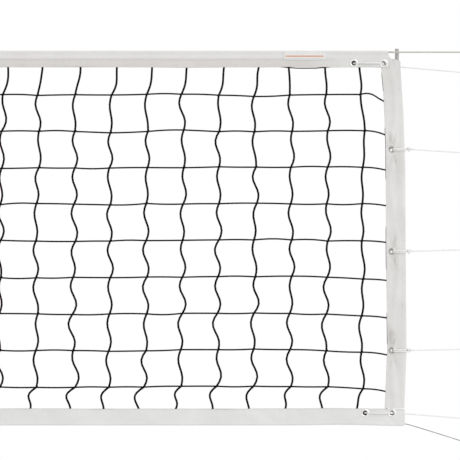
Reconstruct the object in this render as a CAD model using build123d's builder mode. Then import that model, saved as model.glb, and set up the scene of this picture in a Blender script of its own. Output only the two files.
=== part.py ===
from build123d import *
import math
import os

os.makedirs("parts", exist_ok=True)

# A full-length volleyball net with its hem cables, spreader rods and tie cords.
# Frame: X along the net, Y through it (the front is -Y), Z up.
# Origin: on the axis of the top cable, halfway along the net.
# Everything is modelled for the +X end and mirrored to the other one.

# ---------------------------------------------------------------- driving dimensions, mm
net_length = 9750.0  # outer edge to outer edge of the side bands
net_height = 1000.0  # upper edge of the top band to lower edge of the bottom band
mesh = 97.8  # knot to knot
net_twine = 3.0  # twine of the netting
edge_cell = 59.0  # last column of the netting to the side band
first_row_drop = 67.0  # top band to the first row of the netting

cloth = 1.2  # band cloth
band_height = 45.0  # top and bottom bands, folded
side_band_width = 51.0
hem_bore = 6.0  # channel for the cable in a band's fold
top_band_inset = 40.0  # the top band stops this far short of the net's outer edge
side_band_drop = 15.0  # top of the side band, below the top cable
clear = 0.3  # between soft pieces that don't touch
fit = 0.1  # between pieces that are fitted together

top_cable_d = 4.5  # coated wire rope
bottom_cable_d = 2.5  # bare wire rope
cord_d = 3.6  # braided tie cord

rod_d = 11.0
rod_edge_inset = 19.7  # rod's axis, in from the net's outer edge
rod_stand = 10.0  # rod's top end, above the top cable's axis
rod_play = 0.4  # between the rod and its sleeve, all round

big_hole_r = 6.4  # grommets of the top and bottom bands
big_flange_r = 10.7
small_hole_r = 4.8  # grommets of the side bands
small_flange_r = 9.7
small_washer_r = 8.0
barrel_wall = 0.5
washer_thick = 0.8
lip_thick = 0.4
lip_width = 1.2
dome_height = 1.4

top_grommet_insets = (135.8, 56.3)  # from the net's outer edge: inner one, corner one
top_grommet_z = -29.5
bottom_grommet_insets = (105.9, 33.9)
bottom_grommet_rise = 33.6  # above the bottom band's lower edge
side_grommet_inset = 34.0
side_tie_drops = (259.3, 531.5, 795.6)  # below the top cable

line_reach = 160.0  # the lines' end fittings begin this far past the net's outer edge
side_tie_slopes = (-3.6, 1.9, 1.2)  # degrees, up is plus
top_corner_slope = -5.4
bottom_corner_slope = -4.6
bottom_cable_slope = -17.5

thimble_bore_r = 8.0
thimble_wall = 2.4
thimble_flange = 1.0  # thickness of each side flange
thimble_rim = 3.0  # how far a flange stands above the groove
ferrule_length = 16.0
ferrule_wall = 1.6
cord_loop_r = 18.0
end_knot_length = 12.0
end_knot_wall = 2.0
eye_lead = 6.0  # straight stretch between a ferrule or knot and its eye
eye_tail = 3.0  # returning end that shows behind a ferrule or knot

tie_knot_length = 11.0
tie_knot_r = 4.8
tie_knot_gap = 5.5  # band's edge to the knot
stopper_r = 8.2
stopper_length = 10.0
front_lift = 7.0  # cord's axis in front of the middle of the band, over a grommet
grommet_turn_r = 3.5  # a cord's bend over a grommet's rim

label_length = 109.0
label_height = 24.0
label_inset = 267.5  # label's middle, in from the net's outer edge
label_thick = 0.8
label_top = 3.0

# ---------------------------------------------------------------- worked-out places
edge_x = net_length / 2
side_inner_x = edge_x - side_band_width
top_band_end_x = edge_x - top_band_inset
net_gap = net_twine + 2 * clear  # between a band's two walls
band_thick = net_gap + 2 * cloth
hem_r = hem_bore / 2 + cloth
top_band_low_z = hem_r - band_height
bottom_edge_z = hem_r - net_height
bottom_band_top_z = bottom_edge_z + band_height
bottom_cable_z = bottom_edge_z + hem_r
side_top_z = -side_band_drop
side_low_z = bottom_band_top_z + clear

sleeve_bore_r = rod_d / 2 + rod_play
sleeve_r = sleeve_bore_r + cloth
rod_x = edge_x - rod_edge_inset
rod_y = band_thick / 2 + sleeve_bore_r  # the sleeve is sewn on the back of the side band
rod_low_z = side_low_z + cloth + fit

side_grommet_x = edge_x - side_grommet_inset
bottom_grommet_z = bottom_edge_z + bottom_grommet_rise
top_grommets = [(edge_x - inset, top_grommet_z) for inset in top_grommet_insets]
bottom_grommets = [(edge_x - inset, bottom_grommet_z) for inset in bottom_grommet_insets]
side_grommets = [(side_grommet_x, -drop) for drop in side_tie_drops]
grommet_back_y = band_thick / 2 + washer_thick + lip_thick
fitting_x = edge_x + line_reach


# ---------------------------------------------------------------- helpers
def save(part, name):
    """Label one piece and write it to its own file."""
    part.label = name
    export_step(part, f"parts/{name}.step")


def save_pair(part, name):
    """Write a piece of the +X end and its mirror image at the -X end."""
    save(part, f"{name}_right")
    with BuildPart() as other_end:
        mirror(part, about=Plane.YZ)
    save(other_end.part, f"{name}_left")


def bend_radii(points, known):
    """Radius of each corner of a cord's route: as large as its runs allow, or a known size."""
    corners = [Vector(*point) for point in points]
    radii = []
    for index in range(1, len(corners) - 1):
        run_in = corners[index] - corners[index - 1]
        run_out = corners[index + 1] - corners[index]
        half_turn = math.radians(run_in.get_angle(run_out)) / 2
        free = 0.45 * min(run_in.length, run_out.length) / math.tan(half_turn)
        radii.append(min(free, known.get(index, free)))
    return radii


def tube(name, points, diameter, known):
    """A cord or cable along straight runs joined by tangent arcs."""
    radii = bend_radii(points, known)
    with BuildPart() as cord:
        with BuildLine() as route:
            FilletPolyline(*points, radius=radii)
        path = route.wire()
        with BuildSketch(Plane(origin=path @ 0, z_dir=path % 0)):
            Circle(diameter / 2)
        sweep(path=path)
    volume_share = cord.part.volume / (math.pi * diameter**2 / 4 * path.length)
    print(name, "length", round(path.length, 1), "volume share", round(volume_share, 4))
    print("   radii", [round(radius, 1) for radius in radii])
    return cord.part


def along(start, slope, forward, up):
    """A point in the XZ plane, forward and up being measured along and across a sloping line."""
    angle = math.radians(slope)
    x = start[0] + forward * math.cos(angle) - up * math.sin(angle)
    z = start[2] + forward * math.sin(angle) + up * math.cos(angle)
    return (x, start[1], z)


def eye_route(start, slope, diameter, turn_r, fitting_length):
    """Route of a line's end: out of its fitting, round the eye and back through the fitting."""
    gap = diameter + 2 * fit + clear
    lead = fitting_length + eye_lead
    middle = lead + 2.6 * turn_r
    corner_r = turn_r / math.cos(math.radians(40))
    route = [along(start, slope, lead, 0)]
    for angle in (120, 40, -40, -120):
        forward = middle + corner_r * math.cos(math.radians(angle))
        up = corner_r * math.sin(math.radians(angle)) - gap / 2
        route.append(along(start, slope, forward, up))
    route.append(along(start, slope, lead, -gap))
    route.append(along(start, slope, -eye_tail, -gap))
    return route


def fitting(start, slope, diameter, length, wall):
    """A ferrule or a knot: a rounded body with a bore for the line and one for its return."""
    gap = diameter + 2 * fit + clear
    face = Plane(origin=along(start, slope, 0, -gap / 2), x_dir=(0, 1, 0),
                 z_dir=Vector(1, 0, 0).rotate(Axis.Y, -slope))
    with BuildPart() as body:
        with BuildSketch(face):
            SlotOverall(gap + diameter + 2 * wall, diameter + 2 * wall, rotation=90)
        extrude(amount=length)
        fillet(body.edges().filter_by(GeomType.LINE, reverse=True).group_by(Axis.X)[0], 0.6 * wall)
        with BuildSketch(face):
            with Locations((0, gap / 2), (0, -gap / 2)):
                Circle(diameter / 2 + fit)
        extrude(amount=length, mode=Mode.SUBTRACT)
    return body.part


def thimble(start, slope, diameter, turn_r):
    """A solid round thimble, with the cable in its groove and a bore for a hook."""
    gap = diameter + 2 * fit + clear
    centre = along(start, slope, ferrule_length + eye_lead + 2.6 * turn_r, -gap / 2)
    groove_r = thimble_bore_r + thimble_wall
    groove_width = diameter + 2 * clear
    with BuildPart() as ring:
        with BuildSketch(Plane.XZ):
            with Locations((centre[0], centre[2])):
                Circle(groove_r + thimble_rim)
        extrude(amount=groove_width / 2 + thimble_flange, both=True)
        with BuildSketch(Plane.XZ):
            with Locations((centre[0], centre[2])):
                Circle(groove_r + thimble_rim + 1)
                Circle(groove_r, mode=Mode.SUBTRACT)
        extrude(amount=groove_width / 2, both=True, mode=Mode.SUBTRACT)
        with BuildSketch(Plane.XZ):
            with Locations((centre[0], centre[2])):
                Circle(thimble_bore_r)
        extrude(amount=groove_width, both=True, mode=Mode.SUBTRACT)
    print("   thimble centre", [round(value, 2) for value in centre],
          "width", round(groove_width + 2 * thimble_flange, 2))
    return ring.part


# ---------------------------------------------------------------- top and bottom bands
def folded_band(cable_z, toward_net, length, hole_points):
    """A cloth strip folded round its cable, open towards the net, with holes for grommets."""
    wall_height = band_height - hem_r
    with BuildPart() as band:
        with BuildSketch(Plane.YZ):
            with Locations((0, cable_z)):
                Circle(hem_r)
            with Locations((0, cable_z + toward_net * wall_height / 2)):
                Rectangle(band_thick, wall_height)
            with Locations((0, cable_z)):
                Circle(hem_bore / 2, mode=Mode.SUBTRACT)
            with Locations((0, cable_z + toward_net * wall_height / 2)):
                Rectangle(net_gap, wall_height, mode=Mode.SUBTRACT)
        extrude(amount=length / 2, both=True)
        with BuildSketch(Plane.XZ):
            with Locations(*[(side * x, z) for side in (-1, 1) for x, z in hole_points]):
                Circle(big_hole_r + barrel_wall + fit)
        extrude(amount=band_thick, both=True, mode=Mode.SUBTRACT)
    return band.part


save(folded_band(0, -1, 2 * top_band_end_x, top_grommets), "top_band")
save(folded_band(bottom_cable_z, 1, net_length, bottom_grommets), "bottom_band")

# ---------------------------------------------------------------- side bands
with BuildPart() as side_band:
    # two walls that meet in a sewn edge, and the rod's sleeve on the back
    with BuildSketch(Plane.XY.offset(side_low_z)):
        with Locations((edge_x - side_band_width / 2, 0)):
            Rectangle(side_band_width, band_thick)
        with Locations((rod_x, rod_y)):
            Circle(sleeve_r)
    extrude(amount=side_top_z - side_low_z)
    # the gap for the edge of the netting
    with BuildSketch(Plane.XY.offset(side_low_z)):
        with Locations(((side_inner_x + rod_x) / 2, 0)):
            Rectangle(rod_x - side_inner_x, net_gap)
    extrude(amount=side_top_z - side_low_z, mode=Mode.SUBTRACT)
    # the sleeve's bore, closed below
    with BuildSketch(Plane.XY.offset(side_low_z + cloth)):
        with Locations((rod_x, rod_y)):
            Circle(sleeve_bore_r)
    extrude(amount=side_top_z - side_low_z, mode=Mode.SUBTRACT)
    # room for the end of the top band
    with BuildSketch(Plane.XZ):
        with Locations((side_inner_x, side_top_z)):
            Rectangle(2 * (top_band_end_x + clear - side_inner_x),
                      2 * (side_top_z - top_band_low_z + clear))
    extrude(amount=sleeve_r + rod_y, both=True, mode=Mode.SUBTRACT)
    with BuildSketch(Plane.XZ):
        with Locations(*side_grommets):
            Circle(small_hole_r + barrel_wall + fit)
    extrude(amount=band_thick, both=True, mode=Mode.SUBTRACT)
save_pair(side_band.part, "side_band")

# ---------------------------------------------------------------- spreader rods
with BuildPart() as spreader_rod:
    with BuildSketch(Plane.XY.offset(rod_low_z)):
        with Locations((rod_x, rod_y)):
            Circle(rod_d / 2)
    extrude(amount=rod_stand - rod_low_z)
    chamfer(spreader_rod.edges().filter_by(GeomType.CIRCLE), 0.8)
save_pair(spreader_rod.part, "spreader_rod")

# ---------------------------------------------------------------- netting
# Columns hang in front of the rows; the border cord lies in the mouths of the bands.
twine_r = net_twine / 2
layer_y = twine_r + clear / 2
column_reach = side_inner_x - edge_cell
column_count = round(2 * column_reach / mesh) + 1
column_pitch = 2 * column_reach / (column_count - 1)
row_count = int((top_band_low_z - first_row_drop - bottom_band_top_z) / mesh) + 1
border_clear = twine_r + clear
column_top_z = top_band_low_z - border_clear
column_low_z = bottom_band_top_z + border_clear
row_end_x = side_inner_x - border_clear

with BuildPart() as net_columns:
    with BuildSketch(Plane.XY.offset(column_low_z)):
        with Locations((0, -layer_y)):
            with GridLocations(column_pitch, 0, column_count, 1):
                Circle(twine_r)
    extrude(amount=column_top_z - column_low_z)
save(net_columns.part, "net_columns")

with BuildPart() as net_rows:
    with BuildSketch(Plane.YZ.offset(-row_end_x)):
        for row in range(row_count):
            with Locations((layer_y, top_band_low_z - first_row_drop - row * mesh)):
                Circle(twine_r)
    extrude(amount=2 * row_end_x)
save(net_rows.part, "net_rows")

with BuildPart() as net_border:
    with BuildSketch(Plane.YZ.offset(-row_end_x)):
        with Locations((0, top_band_low_z), (0, bottom_band_top_z)):
            Circle(twine_r)
    extrude(amount=2 * row_end_x)
    with BuildSketch(Plane.XY.offset(column_low_z)):
        with Locations((side_inner_x, 0), (-side_inner_x, 0)):
            Circle(twine_r)
    extrude(amount=column_top_z - column_low_z)
save(net_border.part, "net_border_cord")

# ---------------------------------------------------------------- label patch
with BuildPart() as label_patch:
    with BuildSketch(Plane.XZ.offset(hem_r + fit)):
        with Locations((edge_x - label_inset, label_top - label_height / 2)):
            RectangleRounded(label_length, label_height, 2)
    extrude(amount=label_thick)
save(label_patch.part, "label_patch")


# ---------------------------------------------------------------- grommets
def eyelets(points, hole_r, flange_r):
    """The front halves: a domed flange and a barrel whose end is rolled over the washer."""
    with BuildPart() as group:
        for x, z in points:
            with BuildSketch(Plane(origin=(x, 0, z), x_dir=(1, 0, 0), z_dir=(0, 0, 1))):
                with BuildLine():
                    face_y = -band_thick / 2
                    back_y = band_thick / 2 + washer_thick
                    barrel_r = hole_r + barrel_wall
                    Polyline((flange_r, face_y), (barrel_r, face_y), (barrel_r, back_y),
                             (barrel_r + lip_width, back_y), (barrel_r + lip_width, back_y + lip_thick),
                             (hole_r, back_y + lip_thick), (hole_r, face_y))
                    ThreePointArc((hole_r, face_y), (hole_r + 1.8, face_y - dome_height), (flange_r, face_y))
                make_face()
            revolve(axis=Axis((x, 0, z), (0, 1, 0)))
    return group.part


def washers(points, hole_r, washer_r):
    """The back halves, held by the rolled ends of the barrels."""
    with BuildPart() as group:
        with BuildSketch(Plane.XZ.offset(-band_thick / 2)):
            with Locations(*points):
                Circle(washer_r)
                Circle(hole_r + barrel_wall + fit, mode=Mode.SUBTRACT)
        extrude(amount=-washer_thick)
    return group.part


for name, points in (("top", top_grommets), ("bottom", bottom_grommets)):
    save_pair(eyelets(points, big_hole_r, big_flange_r), f"{name}_eyelets")
    save_pair(washers(points, big_hole_r, big_flange_r), f"{name}_washers")
save_pair(eyelets(side_grommets, small_hole_r, small_flange_r), "side_eyelets")
save_pair(washers(side_grommets, small_hole_r, small_washer_r), "side_washers")

# ---------------------------------------------------------------- cables
top_turn_r = thimble_bore_r + thimble_wall + clear + top_cable_d / 2
top_fitting = (fitting_x, 0, 0)
top_eye = eye_route(top_fitting, 0, top_cable_d, top_turn_r, ferrule_length)
top_route = [(-x, y, z) for x, y, z in reversed(top_eye)] + top_eye
eye_bends = {0: 20.0, 5: 20.0}


def numbered(bends, count_before):
    """The same corners, counted from the start of a longer route."""
    return {index + count_before: radius for index, radius in bends.items()}


last_corner = len(top_route) - 1
right_bends = numbered(eye_bends, len(top_eye))
left_bends = {last_corner - index: radius for index, radius in right_bends.items()}
save(tube("top_cable", top_route, top_cable_d, right_bends | left_bends), "top_cable")
save_pair(fitting(top_fitting, 0, top_cable_d, ferrule_length, ferrule_wall), "top_ferrule")
save_pair(thimble(top_fitting, 0, top_cable_d, top_turn_r), "top_thimble")

bottom_turn_r = thimble_bore_r + thimble_wall + clear + bottom_cable_d / 2
hem_bend_r = 40.0  # the bottom cable's bend over the edge of its hem
hem_bend_x = edge_x + hem_bend_r * math.tan(math.radians(-bottom_cable_slope) / 2) + clear
hem_bend = (hem_bend_x, 0, bottom_cable_z)
drop_run = (fitting_x - hem_bend_x) / math.cos(math.radians(bottom_cable_slope))
bottom_fitting = along(hem_bend, bottom_cable_slope, drop_run, 0)
bottom_eye = eye_route(bottom_fitting, bottom_cable_slope, bottom_cable_d, bottom_turn_r,
                       ferrule_length)
bottom_half = [hem_bend] + bottom_eye
bottom_route = [(-x, y, z) for x, y, z in reversed(bottom_half)] + bottom_half
last_corner = len(bottom_route) - 1
right_bends = numbered({0: hem_bend_r, 1: 20.0, 6: 20.0}, len(bottom_half))
left_bends = {last_corner - index: radius for index, radius in right_bends.items()}
save(tube("bottom_cable", bottom_route, bottom_cable_d, right_bends | left_bends), "bottom_cable")
save_pair(fitting(bottom_fitting, bottom_cable_slope, bottom_cable_d, ferrule_length, ferrule_wall),
          "bottom_ferrule")
save_pair(thimble(bottom_fitting, bottom_cable_slope, bottom_cable_d, bottom_turn_r),
          "bottom_thimble")

# ---------------------------------------------------------------- corner cords
# Each starts in a knot behind the inner grommet, crosses the front to the corner grommet
# and leaves past the back of the net's edge.
back_lift = sleeve_r + clear + cord_d / 2  # cord's axis from the rod's axis, behind the sleeve
stopper_y = grommet_back_y + clear
lacing_back_y = grommet_back_y + cord_d / 2 + clear + 2.0
end_y = 4.0  # the cords' ends lie close behind the plane of the net


def fall(slope, run):
    return run * math.tan(math.radians(slope))


def corner_cord(name, grommets, behind, slope, start_of_slope):
    """One lacing cord with its end knot."""
    (inner_x, inner_z), (corner_x, corner_z) = grommets
    start = (fitting_x, end_y, start_of_slope[1] + fall(slope, fitting_x - start_of_slope[0]))
    route = [(inner_x, stopper_y, inner_z), (inner_x, -front_lift, inner_z),
             (corner_x, -front_lift, corner_z), (corner_x, lacing_back_y, corner_z)]
    route += behind
    route += [along(start, slope, -eye_lead, 0)]
    route += eye_route(start, slope, cord_d, cord_loop_r, end_knot_length)
    bends = {1: grommet_turn_r, 2: grommet_turn_r, 3: 2 * grommet_turn_r}
    bends |= numbered({-1: 100.0} | eye_bends, 5 + len(behind))
    save_pair(tube(name, route, cord_d, bends), name)
    save_pair(fitting(start, slope, cord_d, end_knot_length, end_knot_wall), f"{name}_end_knot")


behind_sleeve = [(rod_x - 10, rod_y + back_lift + 0.6, top_grommet_z - 5.0),
                 (rod_x + 8, rod_y + back_lift + 1.4, top_grommet_z - 8.3)]
corner_cord("top_corner_cord", top_grommets, behind_sleeve, top_corner_slope,
            (rod_x + 8, top_grommet_z - 8.3))
corner_cord("bottom_corner_cord", bottom_grommets, [], bottom_corner_slope, bottom_grommets[1])

with BuildPart() as stopper_knots:
    with BuildSketch(Plane.XZ.offset(-stopper_y)):
        with Locations(top_grommets[0], bottom_grommets[0]):
            Circle(stopper_r)
    extrude(amount=-stopper_length)
    fillet(stopper_knots.edges().filter_by(GeomType.CIRCLE), 0.45 * stopper_length)
save_pair(stopper_knots.part, "stopper_knots")

# ---------------------------------------------------------------- side ties
# A doubled strand goes through the grommet and round the rod's sleeve to a knot at the edge.
knot_x = edge_x + tie_knot_gap
strand_offset = cord_d / 2 + clear / 2
front_y = -(band_thick / 2 + clear + cord_d / 2)

with BuildPart() as tie_wraps:
    for x, z in side_grommets:
        for offset in (-strand_offset, strand_offset):
            loop = [(knot_x - clear, front_y + 0.5), (edge_x - 1, front_y - 0.4),
                    (x, -front_lift), (x, band_thick + 3), (rod_x - 5.8, rod_y + back_lift + 0.2),
                    (rod_x + 6.7, rod_y + back_lift + 0.7), (edge_x, rod_y + 0.6),
                    (knot_x - clear, rod_y - 4.4)]
            points = [(px, py, z + offset) for px, py in loop]
            add(tube("tie_wrap", points, cord_d, {2: grommet_turn_r}))
save_pair(tie_wraps.part, "tie_wraps")

with BuildPart() as tie_knots:
    for x, z in side_grommets:
        with BuildSketch(Plane.YZ.offset(knot_x)):
            with Locations((0, z)):
                Circle(tie_knot_r)
        extrude(amount=tie_knot_length)
    fillet(tie_knots.edges().filter_by(GeomType.CIRCLE), 0.55 * tie_knot_r)
save_pair(tie_knots.part, "tie_knots")

for name, drop, slope in zip(("upper", "middle", "lower"), side_tie_drops, side_tie_slopes):
    first = (knot_x + tie_knot_length + clear, 0, -drop)
    start = (fitting_x, 0, -drop + fall(slope, fitting_x - first[0]))
    route = [first] + eye_route(start, slope, cord_d, cord_loop_r, end_knot_length)
    cord_name = f"{name}_side_cord"
    save_pair(tube(cord_name, route, cord_d, numbered(eye_bends, 1)), cord_name)
    save_pair(fitting(start, slope, cord_d, end_knot_length, end_knot_wall), f"{cord_name}_end_knot")
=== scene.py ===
# %% [markdown]
# # A white-bound volleyball net
# The real net is black knotted twine, bound on all four sides with folded bands of white coated cloth.
# A cable runs in the fold of the top band and another in the bottom one, and cords tie the ends out.
# The imported model holds every size, so it is loaded first, and the main edges, the rod and the
# label patch are worked out from its boxes.

# %% Load the frame
import math

import bpy
import numpy as np
from mathutils import Matrix, Vector


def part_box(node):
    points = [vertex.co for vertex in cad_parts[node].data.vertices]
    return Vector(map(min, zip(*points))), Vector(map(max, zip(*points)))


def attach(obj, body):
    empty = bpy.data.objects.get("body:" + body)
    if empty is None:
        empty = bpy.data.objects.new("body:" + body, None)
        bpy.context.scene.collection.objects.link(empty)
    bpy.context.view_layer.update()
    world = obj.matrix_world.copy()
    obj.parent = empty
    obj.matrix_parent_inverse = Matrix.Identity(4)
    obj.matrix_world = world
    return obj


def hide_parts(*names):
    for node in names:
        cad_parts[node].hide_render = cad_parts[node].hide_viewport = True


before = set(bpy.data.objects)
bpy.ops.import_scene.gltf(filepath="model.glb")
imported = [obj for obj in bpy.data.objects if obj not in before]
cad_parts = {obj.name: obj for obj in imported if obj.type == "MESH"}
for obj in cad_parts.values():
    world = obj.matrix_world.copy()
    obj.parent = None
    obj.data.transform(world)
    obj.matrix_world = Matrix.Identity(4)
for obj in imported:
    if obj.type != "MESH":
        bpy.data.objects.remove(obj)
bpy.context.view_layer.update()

# %% [markdown]
# The net hangs in one upright plane. These few values say where its edges are, in metres.
# X runs along the net, the front faces -Y, and the top cable's axis is at height zero.

# %% Places taken from the frame
net_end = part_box("bottom_band")[1].x
top_band_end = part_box("top_band")[1].x
top_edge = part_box("top_band")[1].z
twine_radius = 0.0015
bottom_band_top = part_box("net_border_cord")[0].z + twine_radius
rod_low, rod_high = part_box("spreader_rod_right")
rod_x = (rod_low.x + rod_high.x) / 2
rod_y = (rod_low.y + rod_high.y) / 2
cloth = 0.0012
cord_radius = 0.0018
top_cable_radius = 0.00225
bottom_cable_radius = 0.00125
bottom_cable_z = -0.9916
print("net end", round(net_end, 4), "rod axis", round(rod_x, 4), round(rod_y, 4))

# %% [markdown]
# The camera comes first, because the lines may only spread so far outside its view.
# A long lens from well back keeps the meshes square from one side of the view to the other.

# %% The camera
view_width = 1.2273
lens = 135.0
past_the_end = 0.1476
camera_drop = 0.4744
camera_data = bpy.data.cameras.new("camera")
camera_data.lens = lens
camera_data.sensor_width = 36.0
camera_data.clip_end = 600.0
camera = bpy.data.objects.new("camera", camera_data)
bpy.context.scene.collection.objects.link(camera)
camera.location = (net_end + past_the_end - view_width / 2, -view_width * lens / 36.0, -camera_drop)
camera.rotation_euler = (math.radians(90), 0, 0)
bpy.context.scene.camera = camera
print("camera at", [round(value, 3) for value in camera.location])

# %% [markdown]
# The light is a plain white studio. The room glows evenly, and one broad sun from the upper right of
# the front draws the wrinkles. A sun falls on ten metres of net the same way all along, which a lamp
# near one end wouldn't.

# %% Light and background
world = bpy.data.worlds.new("studio")
bpy.context.scene.world = world
world.use_nodes = True
world_tree = world.node_tree
room = world_tree.nodes["Background"]
room.inputs["Color"].default_value = (1.0, 1.0, 1.0, 1.0)
room.inputs["Strength"].default_value = 0.75
backdrop = world_tree.nodes.new("ShaderNodeBackground")
backdrop.inputs["Strength"].default_value = 1.0
backdrop.inputs["Color"].default_value = (1.0, 1.0, 1.0, 1.0)
ray = world_tree.nodes.new("ShaderNodeLightPath")
world_mix = world_tree.nodes.new("ShaderNodeMixShader")
world_tree.links.new(ray.outputs["Is Camera Ray"], world_mix.inputs["Fac"])
world_tree.links.new(room.outputs["Background"], world_mix.inputs[1])
world_tree.links.new(backdrop.outputs["Background"], world_mix.inputs[2])
world_tree.links.new(world_mix.outputs["Shader"], world_tree.nodes["World Output"].inputs["Surface"])

sun_data = bpy.data.lights.new("key", "SUN")
sun_data.energy = 1.30
sun_data.angle = math.radians(42)
sun = bpy.data.objects.new("key", sun_data)
bpy.context.scene.collection.objects.link(sun)
sun.rotation_euler = Vector((-0.80, 0.58, -0.66)).to_track_quat("-Z", "Y").to_euler()
bpy.context.scene.view_settings.view_transform = "Standard"
print("sun energy", sun_data.energy)


# %% [markdown]
# Every material is built the same way: one Principled shader, whose plain numbers are set on its own
# sockets, and a few nodes for what varies. These helpers keep that short.

# %% Material helpers
def new_finish(name, color, roughness, metallic=0.0, **sockets):
    """A material with one Principled shader; returns it with its node tree and shader."""
    material = bpy.data.materials.new(name)
    material.use_nodes = True
    shader = material.node_tree.nodes["Principled BSDF"]
    shader.inputs["Base Color"].default_value = (*color, 1.0)
    shader.inputs["Roughness"].default_value = roughness
    shader.inputs["Metallic"].default_value = metallic
    for socket, value in sockets.items():
        shader.inputs[socket.replace("_", " ")].default_value = value
    return material, material.node_tree, shader


def add_node(tree, kind, inputs=None, **settings):
    """A node with some settings; inputs gives its sockets a number or another node's output."""
    node = tree.nodes.new(kind)
    for key, value in settings.items():
        setattr(node, key, value)
    for socket, value in (inputs or {}).items():
        if isinstance(value, bpy.types.NodeSocket):
            tree.links.new(value, node.inputs[socket])
        else:
            node.inputs[socket].default_value = value
    return node


def maths(tree, operation, first, second=0.0, third=0.0):
    """One step of arithmetic, worked out over the surface."""
    inputs = {0: first, 1: second, 2: third}
    return add_node(tree, "ShaderNodeMath", inputs, operation=operation).outputs[0]


def spread(tree, value, low, high, to_low, to_high):
    """Maps a value from one range to another, held inside it."""
    inputs = {"Value": value, "From Min": low, "From Max": high, "To Min": to_low, "To Max": to_high}
    return add_node(tree, "ShaderNodeMapRange", inputs).outputs["Result"]


def blend_colors(tree, factor, first, second, blend="MIX"):
    """Mixes two colours, each a colour or another node's output."""
    first = (*first, 1.0) if isinstance(first, tuple) else first
    second = (*second, 1.0) if isinstance(second, tuple) else second
    node = add_node(tree, "ShaderNodeMix", data_type="RGBA", blend_type=blend)
    for socket, value in ((0, factor), (6, first), (7, second)):
        if isinstance(value, bpy.types.NodeSocket):
            tree.links.new(value, node.inputs[socket])
        else:
            node.inputs[socket].default_value = value
    return node.outputs[2]


def noise(tree, scale, detail=3.0, stretch=(1.0, 1.0, 1.0), vector=None):
    """A soft random pattern over the object, in metres, or over the given vector."""
    place = vector or add_node(tree, "ShaderNodeTexCoord").outputs["Object"]
    place = add_node(tree, "ShaderNodeMapping", {"Vector": place, "Scale": stretch}).outputs["Vector"]
    inputs = {"Vector": place, "Scale": scale, "Detail": detail}
    return add_node(tree, "ShaderNodeTexNoise", inputs).outputs["Fac"]


def add_bump(tree, shader, height, distance, strength=1.0):
    """Turns a height into a bump on the shader, on top of any bump that is there."""
    bump = add_node(tree, "ShaderNodeBump", {"Height": height, "Distance": distance, "Strength": strength})
    if shader.inputs["Normal"].is_linked:
        tree.links.new(shader.inputs["Normal"].links[0].from_socket, bump.inputs["Normal"])
    tree.links.new(bump.outputs["Normal"], shader.inputs["Normal"])


def distance(tree, first, second):
    """How far away a place is, from its distances along two directions."""
    squares = [maths(tree, "MULTIPLY", way, way) for way in (first, second)]
    return maths(tree, "SQRT", maths(tree, "ADD", *squares))


def uneven_shine(tree, shader, pattern, low, high):
    """The roughness follows a pattern, from low to high."""
    tree.links.new(spread(tree, pattern, 0.3, 0.7, low, high), shader.inputs["Roughness"])


def flat_place(tree):
    """The piece's own UV map, in metres: length along it and length across or round it."""
    uv = add_node(tree, "ShaderNodeUVMap", uv_map="UVMap").outputs["UV"]
    split = add_node(tree, "ShaderNodeSeparateXYZ", {0: uv})
    return split.outputs["X"], split.outputs["Y"], uv


def select_only(*pieces):
    """Selects these pieces and nothing else, the first one being active."""
    bpy.ops.object.select_all(action="DESELECT")
    for piece in pieces:
        piece.select_set(True)
    bpy.context.view_layer.objects.active = pieces[0]


def give(piece, body, slot, material, *nodes):
    """A finished piece gets its finish and the body it moves with, and the CAD nodes it stands for are
    hidden.
    """
    piece.data.materials.clear()
    piece.data.materials.append(material)
    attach(piece, body)
    if nodes:
        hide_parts(*nodes)
    return piece


print("helpers ready")

# %% [markdown]
# The floor is a wide pale disc at the height where such a net stands over its court. It is matt near
# the net and turns to plain white light further out, so it meets the white room without an edge.

# %% The floor
floor_drop = 2.43
floor_reach = 160.0
bpy.ops.object.select_all(action="DESELECT")
bpy.ops.mesh.primitive_circle_add(vertices=96, radius=floor_reach, fill_type="NGON",
                                  location=(0, 0, top_edge - floor_drop))
floor = bpy.context.object
floor.name = "floor"
floor_paint, floor_tree, floor_shader = new_finish("floor_paint", (0.86, 0.86, 0.86), 0.9)
floor_spot = add_node(floor_tree, "ShaderNodeTexCoord").outputs["Object"]
floor_split = add_node(floor_tree, "ShaderNodeSeparateXYZ", {0: floor_spot})
floor_y = floor_split.outputs["Y"]
floor_x = maths(floor_tree, "MULTIPLY", floor_split.outputs["X"], 0.6)
floor_away = distance(floor_tree, floor_x, floor_y)
floor_fade = add_node(floor_tree, "ShaderNodeMapRange",
                      {"Value": floor_away, "From Min": 3.0, "From Max": 9.0},
                      interpolation_type="SMOOTHSTEP")
floor_glow = add_node(floor_tree, "ShaderNodeEmission", {"Color": (1.0, 1.0, 1.0, 1.0), "Strength": 1.0})
floor_mix = add_node(floor_tree, "ShaderNodeMixShader",
                     {0: floor_fade.outputs["Result"], 1: floor_shader.outputs["BSDF"],
                      2: floor_glow.outputs["Emission"]})
floor_tree.links.new(floor_mix.outputs["Shader"], floor_tree.nodes["Material Output"].inputs["Surface"])
floor.data.materials.append(floor_paint)
print("floor at", round(top_edge - floor_drop, 3))


# %% [markdown]
# ## Tubes
# Twine, cord and cable are all one shape: a round section drawn along a line. The section is carried
# along without twisting, and each tube gets a UV map in metres, so that a braid or a lay drawn in its
# material runs along it at its real pitch.

# %% A tube along points
def carried_frames(points):
    """Two directions square to the line at each point, carried along it without twist."""
    steps = np.diff(points, axis=0)
    tangents = np.vstack([steps[:1], steps[1:] + steps[:-1], steps[-1:]])
    tangents /= np.linalg.norm(tangents, axis=1)[:, None]
    start = np.cross(tangents[0], (0.0, 1.0, 0.0))
    if np.linalg.norm(start) < 0.1:
        start = np.cross(tangents[0], (0.0, 0.0, 1.0))
    sides = [start / np.linalg.norm(start)]
    for tangent in tangents[1:]:
        side = sides[-1] - tangent * np.dot(sides[-1], tangent)
        sides.append(side / np.linalg.norm(side))
    sides = np.array(sides)
    return sides, np.cross(tangents, sides)


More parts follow.
